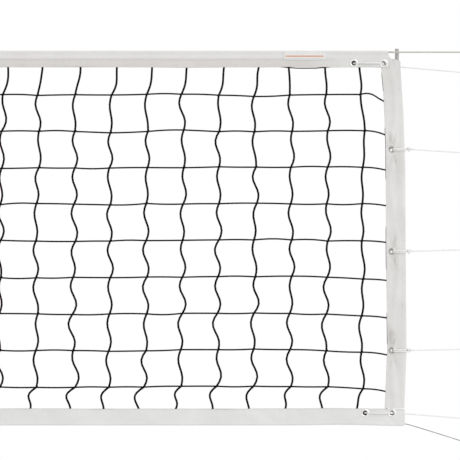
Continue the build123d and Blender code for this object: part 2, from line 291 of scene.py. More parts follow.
def tube_mesh(name, lines, radius, sides=12):
    """One mesh of round tubes along several lines, with closed ends and a UV map in metres."""
    vertices, faces, uvs = [], [], []
    angles = np.linspace(0, 2 * math.pi, sides, endpoint=False)
    around = 2 * math.pi * radius / sides
    base = 0
    for line in lines:
        line = np.asarray(line, float)
        first, second = carried_frames(line)
        ring = (np.cos(angles)[None, :, None] * first[:, None, :]
                + np.sin(angles)[None, :, None] * second[:, None, :])
        vertices.append((line[:, None, :] + radius * ring).reshape(-1, 3))
        lengths = np.concatenate([[0.0], np.cumsum(np.linalg.norm(np.diff(line, axis=0), axis=1))])
        count = len(line)
        i, j = (grid.ravel() for grid in np.meshgrid(np.arange(count - 1), np.arange(sides), indexing="ij"))
        k = (j + 1) % sides
        quads = np.stack([base + i * sides + j, base + i * sides + k,
                          base + (i + 1) * sides + k, base + (i + 1) * sides + j], axis=1)
        faces += quads.tolist()
        u = np.stack([lengths[i], lengths[i], lengths[i + 1], lengths[i + 1]], axis=1)
        v = np.stack([j, j + 1, j + 1, j], axis=1) * around
        uvs.append(np.stack([u, v], axis=2).reshape(-1, 2))
        faces.append([base + j for j in reversed(range(sides))])
        faces.append([base + (count - 1) * sides + j for j in range(sides)])
        end_v = np.arange(sides) * around
        uvs.append(np.stack([np.full(sides, lengths[0]), end_v[::-1]], axis=1))
        uvs.append(np.stack([np.full(sides, lengths[-1]), end_v], axis=1))
        base += count * sides
    mesh = bpy.data.meshes.new(name)
    mesh.from_pydata(np.vstack(vertices).tolist(), [], faces)
    layer = mesh.uv_layers.new(name="UVMap")
    layer.data.foreach_set("uv", np.vstack(uvs).astype(np.float32).ravel())
    mesh.polygons.foreach_set("use_smooth", np.ones(len(faces), bool))
    piece = bpy.data.objects.new(name, mesh)
    bpy.context.scene.collection.objects.link(piece)
    return piece


def smooth_route(points, detail=24):
    """The points along a NURBS spline that has the route's points as its control points."""
    curve = bpy.data.curves.new("route", "CURVE")
    curve.dimensions = "3D"
    curve.resolution_u = detail
    spline = curve.splines.new("NURBS")
    spline.points.add(len(points) - 1)
    for point, place in zip(spline.points, points):
        point.co = (*place, 1.0)
    spline.order_u = 3
    spline.use_endpoint_u = True
    holder = bpy.data.objects.new("route", curve)
    bpy.context.scene.collection.objects.link(holder)
    bpy.context.view_layer.update()
    line = bpy.data.meshes.new_from_object(holder)
    found = np.array([tuple(vertex.co) for vertex in line.vertices])
    bpy.data.objects.remove(holder)
    bpy.data.meshes.remove(line)
    steps = np.linalg.norm(np.diff(found, axis=0), axis=1)
    return found[np.concatenate([[True], steps > 1e-6])]


def line_length(points):
    """Length along a line of points."""
    return float(np.linalg.norm(np.diff(points, axis=0), axis=1).sum())


def mirrored(points):
    """The same points at the other end of the net."""
    return [(-x, y, z) for x, y, z in points]


print("tubes ready")


# %% [markdown]
# ## Finishes of the lines
# The tie cords are white braid: strands wind round the cord both ways, over and under each other.
# The top cable is wire rope in a beige plastic coat, which shows its strands only softly. The bottom
# cable is bare wire rope, thinner and greyer. All are drawn on the tube's own UV map, as ridges that
# go once round in one pitch, and the dips between the ridges are darkened as painted shade.

# %% Braid, coated rope and bare rope
def ridges(tree, along_it, round_it, pitch, starts, radius, hand):
    """Ridges that wind round a tube: so many starts, each going once round in one pitch."""
    turn = maths(tree, "MULTIPLY", round_it, hand * starts / radius)
    advance = maths(tree, "MULTIPLY", along_it, starts * 2 * math.pi / pitch)
    return maths(tree, "SINE", maths(tree, "ADD", turn, advance))


def braid_finish():
    """White braided cord, yellowed here and there, with painted shade greying the dips between its strands.
    """
    material, tree, shader = new_finish("white_braid", (0.8, 0.8, 0.78), 0.75, Sheen_Weight=0.2)
    along_it, round_it, _ = flat_place(tree)
    pitch = 0.018
    left = ridges(tree, along_it, round_it, pitch, 4, cord_radius, 1)
    right = ridges(tree, along_it, round_it, pitch, 4, cord_radius, -1)
    height = maths(tree, "MAXIMUM", left, right)
    yarn = ridges(tree, along_it, round_it, pitch, 24, cord_radius, 1)
    tint = blend_colors(tree, noise(tree, 35.0, 4.0), (0.96, 0.955, 0.945), (0.915, 0.905, 0.89))
    # Painted shade: the dips between the strands are greyed.
    hollow_shade = spread(tree, height, -0.5, 0.8, 0.12, 0.0)
    color = blend_colors(tree, hollow_shade, tint, (0.62, 0.61, 0.59))
    tree.links.new(color, shader.inputs["Base Color"])
    add_bump(tree, shader, height, 0.00025)
    add_bump(tree, shader, yarn, 0.00004)
    return material


def rope_finish(name, radius, low, high, roughness, depth, metallic):
    """Wire rope: six strands laid round it, each showing a few wires unless a coat hides them.
    Painted shade darkens the grooves between the strands.
    """
    material, tree, shader = new_finish(name, high, roughness, metallic)
    along_it, round_it, _ = flat_place(tree)
    strand = maths(tree, "ABSOLUTE", ridges(tree, along_it, round_it, 0.030, 3, radius, 1))
    wire = ridges(tree, along_it, round_it, 0.011, 14, radius, -1)
    worn = noise(tree, 60.0, 4.0)
    tint = blend_colors(tree, worn, high, low)
    # Painted shade: the grooves between the strands are darkened toward the low colour.
    color = blend_colors(tree, spread(tree, strand, 0.0, 0.7, 0.45, 0.0), tint, low)
    tree.links.new(color, shader.inputs["Base Color"])
    uneven_shine(tree, shader, worn, roughness - 0.08, roughness + 0.12)
    add_bump(tree, shader, strand, depth)
    add_bump(tree, shader, wire, depth * 0.2)
    return material


white_braid = braid_finish()
coated_rope = rope_finish("coated_rope", top_cable_radius, (0.52, 0.50, 0.46), (0.74, 0.71, 0.66), 0.42,
                          0.00025, 0.0)
bare_rope = rope_finish("bare_rope", bottom_cable_radius, (0.24, 0.235, 0.22), (0.60, 0.59, 0.57), 0.42,
                        0.00035, 0.85)
print("rope finishes ready")

# %% [markdown]
# ## The free ends of the cables and the tie cords
# Each line leaves the net, runs straight out because something beyond holds it taut, and ends in an
# eye. Its route repeats the CAD route's points, and one smooth spline through them gives the line that
# the tube follows. The other end of the net has the same lines, mirrored.

# %% Routes of the lines at the right-hand end
cable_routes = {
    "top_cable_end": [
        (4.8353, 0.0, 0.0), (5.0290, 0.0, 0.0), (5.0570, 0.0, 0.0), (5.0822, 0.0, 0.0121),
        (5.1036, 0.0, 0.0084), (5.1036, 0.0, -0.0134), (5.0822, 0.0, -0.0171), (5.0570, 0.0, -0.0050),
        (5.0320, 0.0, -0.0050)],
    "bottom_cable_end": [
        (4.8750, 0.0, -0.9916), (4.8815, 0.0, -0.9916), (5.0293, 0.0, -1.0382), (5.0560, 0.0, -1.0466),
        (5.0818, 0.0, -1.0422), (5.0996, 0.0, -1.0514), (5.0935, 0.0, -1.0706), (5.0737, 0.0, -1.0679),
        (5.0551, 0.0, -1.0495), (5.0312, 0.0, -1.0420)],
}
corner_routes = {
    "top_lacing": [
        (4.7392, 0.0045, -0.0295), (4.7392, -0.0070, -0.0295), (4.8187, -0.0070, -0.0295),
        (4.8187, 0.0083, -0.0295), (4.8453, 0.0187, -0.0345), (4.8633, 0.0195, -0.0378),
        (5.0290, 0.0040, -0.0535), (5.0529, 0.0040, -0.0557), (5.0895, 0.0040, -0.0408),
        (5.1187, 0.0040, -0.0488), (5.1158, 0.0040, -0.0789), (5.0857, 0.0040, -0.0813),
        (5.0525, 0.0040, -0.0598), (5.0316, 0.0040, -0.0578)],
    "bottom_lacing": [
        (4.7691, 0.0045, -0.9622), (4.7691, -0.0070, -0.9622), (4.8411, -0.0070, -0.9622),
        (4.8411, 0.0083, -0.9622), (5.0290, 0.0040, -0.9773), (5.0529, 0.0040, -0.9792),
        (5.0893, 0.0040, -0.9638), (5.1186, 0.0040, -0.9714), (5.1162, 0.0040, -1.0015),
        (5.0861, 0.0040, -1.0044), (5.0526, 0.0040, -0.9833), (5.0317, 0.0040, -0.9816)],
}
side_routes = {
    "upper_tie": [
        (4.8918, 0.0, -0.2593), (5.0290, 0.0, -0.2679), (5.0530, 0.0, -0.2694), (5.0891, 0.0, -0.2534),
        (5.1185, 0.0, -0.2605), (5.1166, 0.0, -0.2906), (5.0865, 0.0, -0.2940), (5.0527, 0.0, -0.2735),
        (5.0317, 0.0, -0.2722)],
    "middle_tie": [
        (4.8918, 0.0, -0.5315), (5.0290, 0.0, -0.5269), (5.0530, 0.0, -0.5262), (5.0874, 0.0, -0.5067),
        (5.1173, 0.0, -0.5110), (5.1183, 0.0, -0.5411), (5.0888, 0.0, -0.5474), (5.0531, 0.0, -0.5303),
        (5.0321, 0.0, -0.5309)],
    "lower_tie": [
        (4.8918, 0.0, -0.7956), (5.0290, 0.0, -0.7927), (5.0530, 0.0, -0.7922), (5.0877, 0.0, -0.7732),
        (5.1175, 0.0, -0.7778), (5.1181, 0.0, -0.8080), (5.0885, 0.0, -0.8139), (5.0531, 0.0, -0.7963),
        (5.0321, 0.0, -0.7968)],
}
print(len(cable_routes) + len(corner_routes) + len(side_routes), "routes at each end")

# %% [markdown]
# A tie cord's end is turned back on itself and whipped: the cord is wound round both parts a few
# times and pulled tight. So the end knot is a close helix round the two parts, which lie side by side.


# %% Winding round the two parts of an eye
def whipping(name, start, toward, gap, turns=3.4, radius=0.0016, length=0.0115):
    """A close winding round a cord and its returning end, from start, going toward."""
    forward = np.array(toward) / np.linalg.norm(toward)
    up = np.array((-forward[2], 0.0, forward[0])) * (1 if forward[0] > 0 else -1)
    middle = np.array(start) - up * gap / 2
    angle = np.linspace(0, 2 * math.pi * turns, int(turns * 22))
    tall = gap / 2 + cord_radius + radius * 0.8
    wide = cord_radius + radius * 0.8
    line = (middle + np.outer(radius + (length - 2 * radius) * angle / angle[-1], forward)
            + np.outer(tall * np.cos(angle), up) + np.outer(wide * np.sin(angle), (0, 1, 0)))
    return tube_mesh(name, [line], radius, 10)


def overhand(name, centers, size, depth, radius=cord_radius, turned=0.0):
    """Tight overhand knots: one cord that goes round and through itself, at each centre."""
    angle = np.linspace(0, 2 * math.pi, 61)[:-1]
    loops = []
    for center in centers:
        x = size * (np.sin(angle + turned) + 2 * np.sin(2 * (angle + turned)))
        z = size * (np.cos(angle + turned) - 2 * np.cos(2 * (angle + turned)))
        y = -depth * np.sin(3 * (angle + turned))
        line = np.stack([x, y, z], axis=1) + np.array(center)
        loops.append(np.vstack([line, line[:2]]))
    return tube_mesh(name, loops, radius, 10)


print("knot shapes ready")

# %% Lines and knots
side_ties = {"right": 1, "left": -1}
eye_gap = 0.0041
knot_lead = 0.006
line_pieces = 0
for side, sign in side_ties.items():
    place = (lambda points: points) if sign > 0 else mirrored
    for level, radius, finish, slot, body in (
            ("top", top_cable_radius, coated_rope, "coated_cable", "hanging_cable"),
            ("bottom", bottom_cable_radius, bare_rope, "bare_cable", "net")):
        route = place(cable_routes[f"{level}_cable_end"])
        line = smooth_route(route)
        piece = tube_mesh(f"{level}_cable_end_{side}", [line], radius, 20)
        give(piece, body, slot, finish, f"{level}_cable")
        line_pieces += 1
    for name, route in {**corner_routes, **side_routes}.items():
        corner = name.endswith("lacing")
        words = name.split("_")
        node = f"{words[0]}_corner_cord_{side}" if corner else f"{words[0]}_side_cord_{side}"
        knot_node = node.replace("_cord_", "_cord_end_knot_")
        route = place(route)
        line = smooth_route(route)
        piece = tube_mesh(f"{name}_{side}", [line], cord_radius, 14)
        give(piece, "net", "tie_cord", white_braid, node)
        before, lead = np.array(route[-8]), np.array(route[-7])
        forward = (lead - before) / np.linalg.norm(lead - before)
        knot_start = before + forward * knot_lead
        knot = whipping(f"{name}_end_knot_{side}", knot_start, forward, eye_gap)
        give(knot, "net", "tie_cord", white_braid, knot_node)
        line_pieces += 2
        print(name, side, "length", round(line_length(line), 4))
print(line_pieces, "pieces on the free lines")

# %% [markdown]
# Inside the hems the two cables run straight from end to end. They show only where the cloth gapes,
# but the net really hangs from the upper one, so they are there.

# %% The cables inside the hems
for level, radius, finish, slot, body, reach, height in (
        ("top", top_cable_radius, coated_rope, "coated_cable", "hanging_cable", top_band_end, 0.0),
        ("bottom", bottom_cable_radius, bare_rope, "bare_cable", "net", net_end, bottom_cable_z)):
    line = [(x, 0.0, height) for x in np.linspace(-reach, reach, 80)]
    give(tube_mesh(f"{level}_cable_in_hem", [line], radius, 12), body, slot, finish, f"{level}_cable")
print("hem cables ready")

# %% [markdown]
# The side ties go through their grommet as a doubled strand, round the edge of the band and its rod,
# and meet in a knot. The pull draws the strands hard against the outer side of the hole. The lacing
# cords start in a stopper knot behind the inner grommet.

# %% Lashings and knots
grommet_drops = [0.2593, 0.5315, 0.7956]
strand_gap = 0.00195
edge_knot_x = 4.8862
stopper_y = 0.0126
lashing = [(4.8802, -0.0046), (4.8740, -0.0055), (4.8426, -0.0070), (4.8426, 0.0090), (4.8495, 0.0183),
           (4.8620, 0.0188), (4.8750, 0.0095), (4.8802, 0.0045)]
stopper_places = [(4.7392, -0.0295), (4.7691, -0.9622)]
for side, sign in side_ties.items():
    strands = []
    for drop in grommet_drops:
        for shift in (-strand_gap, strand_gap):
            strands.append(smooth_route([(sign * x, y, shift - drop) for x, y in lashing], 12))
    give(tube_mesh(f"tie_lashings_{side}", strands, cord_radius, 12), "net", "tie_cord", white_braid,
         f"tie_wraps_{side}")
    knots = overhand(f"tie_knots_at_edge_{side}",
                     [(sign * edge_knot_x, 0.0, -drop) for drop in grommet_drops],
                     0.0018, 0.0026, turned=0.4)
    give(knots, "net", "tie_cord", white_braid, f"tie_knots_{side}")
    stoppers = overhand(f"lacing_stoppers_{side}",
                        [(sign * x, stopper_y, z) for x, z in stopper_places], 0.0021, 0.0026)
    give(stoppers, "net", "tie_cord", white_braid, f"stopper_knots_{side}")
print("lashings and knots ready")

# %% [markdown]
# ## The bands
# Each band is one long strip of coated cloth, folded over its cable. The strip is a grid: its columns
# are stations along the net, and its rows are points of the folded section. Moving the grid's points
# to their places folds the strip, and Solidify then gives it the cloth's thickness. Small waves that
# fade out near the grommets give the puckers that sewing leaves.


# %% Waves and folding helpers
def waves(x, seed, lengths, heights):
    """Waves of several lengths added up, the same on every run."""
    chance = np.random.default_rng(seed)
    total = np.zeros_like(x)
    for length, height in zip(lengths, heights):
        total = total + height * np.sin(2 * np.pi * (x / length + chance.random()))
    return total


def smooth_step(value, low, high):
    """Goes from 0 at low to 1 at high, smoothly."""
    t = np.clip((value - low) / (high - low), 0.0, 1.0)
    return t * t * (3 - 2 * t)


def near(x, z, places, reach):
    """1 at any of the places and 0 from reach on."""
    amount = np.zeros_like(x)
    for place_x, place_z in places:
        amount = np.maximum(amount, 1 - smooth_step(np.hypot(x - place_x, z - place_z), 0.45 * reach, reach))
    return amount


def fold_cloth(name, columns, rows, shape, flat):
    """A grid whose points shape() moves into place, made into cloth; flat is (length, widths)."""
    bpy.ops.object.select_all(action="DESELECT")
    bpy.ops.mesh.primitive_grid_add(x_subdivisions=columns, y_subdivisions=rows, size=1.0)
    piece = bpy.context.object
    piece.name = name
    mesh = piece.data
    flat_points = np.empty(len(mesh.vertices) * 3)
    mesh.vertices.foreach_get("co", flat_points)
    flat_points = flat_points.reshape(-1, 3)
    columns = len(np.unique(np.round(flat_points[:, 0], 6))) - 1
    rows = len(np.unique(np.round(flat_points[:, 1], 6))) - 1
    i = np.rint((flat_points[:, 0] + 0.5) * columns).astype(int)
    j = np.rint((flat_points[:, 1] + 0.5) * rows).astype(int)
    mesh.vertices.foreach_set("co", shape(i / columns, j).ravel())
    corners = np.empty(len(mesh.loops), int)
    mesh.loops.foreach_get("vertex_index", corners)
    length, widths = flat
    uv = np.stack([length * i / columns, np.asarray(widths)[j]], axis=1)[corners]
    mesh.uv_layers["UVMap"].data.foreach_set("uv", uv.astype(np.float32).ravel())
    mesh.update()
    thicken = piece.modifiers.new("thickness", "SOLIDIFY")
    thicken.thickness = cloth
    thicken.offset = 0.0
    bpy.ops.object.modifier_apply(modifier=thicken.name)
    bpy.ops.object.shade_smooth_by_angle(angle=math.radians(50))
    return piece


def cut_holes(piece, places, radius):
    """Cuts round holes through the cloth, front to back."""
    bpy.ops.object.select_all(action="DESELECT")
    cutters = []
    for x, z in places:
        bpy.ops.mesh.primitive_cylinder_add(vertices=40, radius=radius, depth=0.05, location=(x, 0, z),
                                            rotation=(math.radians(90), 0, 0))
        cutters.append(bpy.context.object)
    select_only(*cutters)
    bpy.ops.object.join()
    punch = bpy.context.object
    select_only(piece)
    holes = piece.modifiers.new("holes", "BOOLEAN")
    holes.object = punch
    holes.operation = "DIFFERENCE"
    holes.solver = "EXACT"
    bpy.ops.object.modifier_apply(modifier=holes.name)
    bpy.data.objects.remove(punch)
    return piece


def widths_of(section):
    """How far along the flat strip each point of a section lies."""
    section = np.asarray(section)
    return np.concatenate([[0.0], np.cumsum(np.linalg.norm(np.diff(section, axis=0), axis=1))])


print("folding helpers ready")

# %% [markdown]
# Coated cloth is nearly smooth: a fine weave shows through the coat, the tone drifts a little, soft
# creases run through it, and rows of stitches hold its seams. The stitches are drawn on the flat
# cloth's own UV map, at the distance from its edge where the seam runs, and the groove beside each
# row is darkened a little as painted shade.


# %% Finish of the band cloth
def cloth_finish(name, light, dark, stitch_rows, shaded_stretch=None, fold_shade_marks=()):
    """White coated cloth with stitch rows at given distances across the strip, and painted shade in the
    groove beside each row.

    shaded_stretch darkens one stretch of its width, up to where the second layer ends: painted shade.
    soiled lists grey marks of painted shade where the cloth folds, each with its place from the middle
    of the net, its height, its reach both ways and its strength.
    """
    material, tree, shader = new_finish(name, light, 0.5, Sheen_Weight=0.08)
    along_it, across_it, uv = flat_place(tree)
    weave_pitch = 0.0009
    warp = maths(tree, "SINE", maths(tree, "MULTIPLY", along_it, 2 * math.pi / weave_pitch))
    weft = maths(tree, "SINE", maths(tree, "MULTIPLY", across_it, 2 * math.pi / weave_pitch))
    weave = maths(tree, "MULTIPLY", warp, weft)
    drift = noise(tree, 9.0, 5.0)
    color = blend_colors(tree, spread(tree, drift, 0.35, 0.7, 0.0, 0.8), light, dark)
    smudge = spread(tree, noise(tree, 45.0, 6.0), 0.6, 0.85, 0.0, 0.22)
    color = blend_colors(tree, smudge, color, (0.50, 0.48, 0.45))
    # Painted shade: one stretch of the width is darkened.
    if shaded_stretch:
        low, high, shade = shaded_stretch
        inside = maths(tree, "MULTIPLY", maths(tree, "GREATER_THAN", across_it, low),
                       maths(tree, "LESS_THAN", across_it, high))
        from_middle = maths(tree, "ABSOLUTE", maths(tree, "SUBTRACT", along_it, top_band_end))
        inside = maths(tree, "MULTIPLY", inside, spread(tree, from_middle, 4.62, 4.73, 1.0, 0.0))
        color = blend_colors(tree, inside, color, shade, "MULTIPLY")
    # Painted shade: grey marks where the cloth folds near the grommets.
    if fold_shade_marks:
        spot = add_node(tree, "ShaderNodeTexCoord").outputs["Object"]
        spot = add_node(tree, "ShaderNodeSeparateXYZ", {0: spot})
        from_end = maths(tree, "ABSOLUTE", spot.outputs["X"])
        ragged = spread(tree, noise(tree, 60.0, 4.0), 0.3, 0.7, -0.25, 0.25)
        for place_x, place_z, wide, tall, amount in fold_shade_marks:
            off_x = maths(tree, "DIVIDE", maths(tree, "SUBTRACT", from_end, place_x), wide)
            off_z = maths(tree, "DIVIDE", maths(tree, "SUBTRACT", spot.outputs["Z"], place_z), tall)
            away = maths(tree, "ADD", distance(tree, off_x, off_z), ragged)
            painted_fold_shade = spread(tree, away, 0.35, 1.0, amount, 0.0)
            color = blend_colors(tree, painted_fold_shade, color, (0.40, 0.39, 0.36))
    dash = maths(tree, "LESS_THAN", maths(tree, "FRACT", maths(tree, "MULTIPLY", along_it, 250.0)), 0.74)
    thread, groove = None, None
    for row in stitch_rows:
        line = maths(tree, "MULTIPLY", dash, maths(tree, "COMPARE", across_it, row, 0.00035))
        sunk = spread(tree, maths(tree, "ABSOLUTE", maths(tree, "SUBTRACT", across_it, row)),
                      0.0, 0.0022, 1.0, 0.0)
        thread = line if thread is None else maths(tree, "MAXIMUM", thread, line)
        groove = sunk if groove is None else maths(tree, "MAXIMUM", groove, sunk)
    if thread is not None:
        # Painted shade: the groove beside each stitch row is darkened a little.
        color = blend_colors(tree, maths(tree, "MULTIPLY", groove, 0.05), color, (0.42, 0.41, 0.39))
        color = blend_colors(tree, thread, color, (0.78, 0.775, 0.76))
        add_bump(tree, shader, maths(tree, "SUBTRACT", 1.0, groove), 0.00022)
        add_bump(tree, shader, thread, 0.0002)
    tree.links.new(color, shader.inputs["Base Color"])
    uneven_shine(tree, shader, drift, 0.42, 0.60)
    add_bump(tree, shader, noise(tree, 28.0, 4.0, (1.0, 1.0, 0.45)), 0.0016, 0.55)
    add_bump(tree, shader, noise(tree, 110.0, 3.0), 0.0003, 0.5)
    add_bump(tree, shader, weave, 0.00006)
    return material


print("cloth finish ready")

# %% [markdown]
# The top band's section starts at the front's lower edge, goes up the front, where a second layer is
# laid over and sewn down, round the cable, and down the back. The cable is taut, so its fold is
# straight, and only the loose lower edges ripple.

# %% The top band
top_grommets = [(4.7392, -0.0295), (4.8187, -0.0295)]
bottom_grommets = [(4.7691, -0.9622), (4.8411, -0.9622)]
side_grommets = [(4.8410, -drop) for drop in grommet_drops]
big_hole, small_hole = 0.0064, 0.0048
cut_margin = 0.0004


def both_ends(places):
    """Places at the right-hand end and, mirrored, at the left-hand one."""
    return places + [(-x, z) for x, z in places]


fold_radius = 0.0036
leaf = 0.0024
leaf_drop = 0.0402
second_layer = 0.0007
hem_arc = [(fold_radius * math.cos(a), fold_radius * math.sin(a))
           for a in np.radians(np.arange(192, -13, -17))]
top_front = [(-leaf, -leaf_drop), (-leaf, -0.0385), (-leaf, -0.0340), (-leaf, -0.0290), (-leaf, -0.0240),
             (-leaf, -0.0190), (-leaf - second_layer, -0.0182), (-leaf - second_layer, -0.0150),
             (-leaf - 0.0004, -0.0110), (-leaf - 0.0002, -0.0070), (-0.0029, -0.0035)]
top_back = [(0.0029, -0.0035), (leaf, -0.0090), (leaf, -0.0160), (leaf, -0.0240), (leaf, -0.0320),
            (leaf, -0.0385), (leaf, -leaf_drop)]
top_section = np.array(top_front + hem_arc + top_back)
top_widths = widths_of(top_section)


def leaf_ripple(x, depth, seed):
    """How far a leaf stands off, depth being 0 at its fold and 1 at its free edge."""
    patch = 0.5 + waves(x, seed + 1, (0.83, 0.37), (0.3, 0.25))
    ruffle = np.maximum(0.0, waves(x, seed, (0.43, 0.187, 0.103, 0.061), (0.0007, 0.0006, 0.0006, 0.0004)))
    slant = waves(x + 0.05 * depth, seed + 2, (0.092, 0.057), (0.0004, 0.0003)) * 4 * depth * (1 - depth)
    pucker = waves(x, seed + 3, (0.033, 0.021, 0.0145), (0.00014, 0.00012, 0.0001)) * np.minimum(1, 3 * depth)
    return ruffle * depth ** 2 + (slant + pucker) * patch


def top_band_shape(s, j):
    """Where the strip's points lie: s runs along it from 0 to 1, j counts round its section."""
    y, z = top_section[j, 0], top_section[j, 1]
    slant = 0.0050 * (1 - smooth_step(-z, 0.001, 0.014))
    x = (2 * s - 1) * (top_band_end - slant)
    depth = np.clip(-z / leaf_drop, 0, 1)
    calm = 1 - near(np.abs(x), z, top_grommets, 0.030)
    front = y < 0
    ripple = np.where(front, -leaf_ripple(x, depth, 11), leaf_ripple(x, depth, 31)) * calm
    rise = waves(x, 51, (0.9, 0.41, 0.2), (0.0006, 0.0005, 0.0003)) * depth
    at_gap = smooth_step(np.abs(x), 4.545, 4.575) * (1 - smooth_step(np.abs(x), 4.655, 4.685)) * depth ** 3
    droop = 0.0012 * smooth_step(np.abs(x), 4.71, 4.83) * depth ** 3
    layer_gone = smooth_step(np.abs(x), 4.64, 4.72) * ((j >= 6) & (j <= 9))
    z = z + (rise * calm) + 0.0008 * at_gap - droop
    return np.stack([x, y + ripple + second_layer * layer_gone, z], axis=1)


# The top band's front below its second layer is painted darker: painted shade.
top_cloth = cloth_finish("top_band_cloth", (0.745, 0.738, 0.728), (0.69, 0.682, 0.668),
                         [0.0026, 0.0242, float(top_widths[-1]) - 0.0026],
                         (-1.0, 0.0216, (0.905, 0.885, 0.865)))
top_band = fold_cloth("top_band_strip", 1500, len(top_section) - 1, top_band_shape,
                      (2 * top_band_end, top_widths))
cut_holes(top_band, both_ends(top_grommets), big_hole + cut_margin)
give(top_band, "net", "band_cloth", top_cloth, "top_band")
print("top band flat width", round(float(top_widths[-1]), 4), "faces", len(top_band.data.polygons))

# %% [markdown]
# The bottom band is folded the other way up, over the lower cable. It runs the whole length, in front
# of the side bands, and its lower corner is pulled into a soft slanting crease.

# %% The bottom band
bottom_front = [(-leaf, bottom_band_top - 0.0006 - drop) for drop in
                (0.0, 0.0018, 0.0070, 0.0120, 0.0170, 0.0220, 0.0270, 0.0320, 0.0360)]
bottom_hem = [(fold_radius * math.cos(a), bottom_cable_z + fold_radius * math.sin(a))
              for a in np.radians(np.arange(168, 373, 17))]
bottom_back = [(leaf, z) for _, z in reversed(bottom_front)]
bottom_section = np.array(bottom_front + bottom_hem + bottom_back)
bottom_widths = widths_of(bottom_section)


def bottom_band_shape(s, j):
    """The same for the bottom band."""
    y, z = bottom_section[j, 0], bottom_section[j, 1]
    x = (2 * s - 1) * net_end
    depth = np.clip((z - bottom_cable_z) / (bottom_band_top - bottom_cable_z), 0, 1)
    calm = 1 - near(np.abs(x), z, bottom_grommets, 0.030)
    ripple = np.where(y < 0, -leaf_ripple(x, depth, 71), leaf_ripple(x, depth, 91)) * calm
    rise = waves(x, 57, (0.7, 0.33, 0.17), (0.0005, 0.0005, 0.0003)) * depth * calm
    crease_line = (np.abs(x) - 4.846) + 1.1 * (z - (bottom_cable_z + 0.004))
    crease = 0.0011 * np.exp(-(crease_line / 0.0035) ** 2) * (np.abs(x) > 4.83) * (y < 0)
    tuck = 0.0018 * smooth_step(np.abs(x), 4.868, net_end) * (1 - depth)
    sway = (0.0016 * np.exp(-((np.abs(x) - 4.70) / 0.07) ** 2)
            - 0.0016 * smooth_step(np.abs(x), 4.77, 4.87))
    return np.stack([x, y + ripple + crease, z + rise + tuck + sway], axis=1)


bottom_cloth = cloth_finish("bottom_band_cloth", (0.762, 0.760, 0.754), (0.70, 0.697, 0.69),
                            [0.0028, float(bottom_widths[-1]) - 0.0028])
bottom_band = fold_cloth("bottom_band_strip", 1500, len(bottom_section) - 1, bottom_band_shape,
                         (2 * net_end, bottom_widths))
cut_holes(bottom_band, both_ends(bottom_grommets), big_hole + cut_margin)
give(bottom_band, "net", "band_cloth", bottom_cloth, "bottom_band")
print("bottom band flat width", round(float(bottom_widths[-1]), 4))

# %% [markdown]
# A side band hangs between the other two. The ties pull its outer edge out at their grommets, so its
# outline isn't straight: it is slimmer near the top and a little wider further down. Its top is cut
# on a slant behind the end of the top band. Six places give each edge, and the cloth runs straight
# between them.

# %% The side bands
inner_outline = [(-0.950, 4.822), (-0.780, 4.829), (-0.550, 4.8255), (-0.250, 4.8245), (-0.100, 4.818),
                 (-0.042, 4.8125)]
outer_outline = [(-0.950, 4.8735), (-0.800, 4.8795), (-0.550, 4.8775), (-0.300, 4.876), (-0.160, 4.871),
                 (-0.042, 4.8635)]


def side_edge(z, outline):
    """Where an edge of the side band lies at each height."""
    heights, places = zip(*outline)
    return np.interp(z, heights, places)


corner_level = -0.0414
side_levels = np.concatenate([np.linspace(-0.9505, -0.0420, 236), [corner_level],
                              np.linspace(-0.0405, -0.0162, 8)])
side_fractions = np.array([0.0, 0.03, 0.09, 0.16, 0.24, 0.32, 0.40, 0.48, 0.56, 0.64, 0.72, 0.80,
                           0.88, 0.94])
side_across = np.concatenate([side_fractions, [0.985, 1.0, 0.985], side_fractions[::-1]])
side_leaf = np.concatenate([np.full(len(side_fractions), -1.0), [-0.75, 0.0, 0.75],
                            np.full(len(side_fractions), 1.0)])


def side_band_shape(sign):
    """The same for the side band of one end, where s runs up it."""
    def shape(s, j):
        z = side_levels[np.rint(s * (len(side_levels) - 1)).astype(int)]
        inner = side_edge(z, inner_outline)
        outer = side_edge(z, outer_outline)
        inner = np.where(z > corner_level - 1e-6, top_band_end + 0.0008, inner)
        across = side_across[j]
        x = inner + (outer - inner) * across
        calm = 1 - near(x, z, side_grommets, 0.022)
        face = side_leaf[j]
        long_folds = waves(z + 0.4 * x, 201 + sign, (0.31, 0.137, 0.081), (0.0007, 0.0006, 0.0004))
        down_folds = 0.0010 * np.sin(2 * np.pi * (across * 1.6 + 0.35 * np.sin(z * 14.0) + 0.1))
        edge_wave = waves(z, 207 + sign, (0.043, 0.026), (0.0002, 0.0002))
        loose = np.sin(np.pi * np.clip(across, 0, 1)) ** 0.7
        fold = (long_folds + down_folds + edge_wave) * loose * calm
        pull = np.zeros_like(x)
        for grommet_x, grommet_z in side_grommets:
            away_x, away_z = x - grommet_x, z - grommet_z
            for slope in (1.5, -1.1):
                ray_line = (away_x - away_z / (4.2 * slope)) / 0.0028
                reach = smooth_step(np.abs(away_z), 0.010, 0.018)
                reach = reach * (1 - smooth_step(np.abs(away_z), 0.03, 0.06))
                pull += 0.0030 * np.exp(-ray_line ** 2) * reach
        top_slant = 0.0075 * across * smooth_step(z, -0.030, side_levels[-1])
        front = np.minimum(fold * 0.8 - 0.0004, 0.0003) + pull * loose
        y = face * leaf + np.where(face < 0, front, 0.0)
        return np.stack([sign * x, y, z - top_slant], axis=1)
    return shape


mean_width = float(np.mean(side_edge(side_levels, outer_outline) - side_edge(side_levels, inner_outline)))
side_widths = np.concatenate([side_fractions * mean_width, mean_width + np.array([0.001, 0.0038, 0.0066]),
                              mean_width * 2 + 0.0076 - side_fractions[::-1] * mean_width])
side_length = float(side_levels[-1] - side_levels[0])
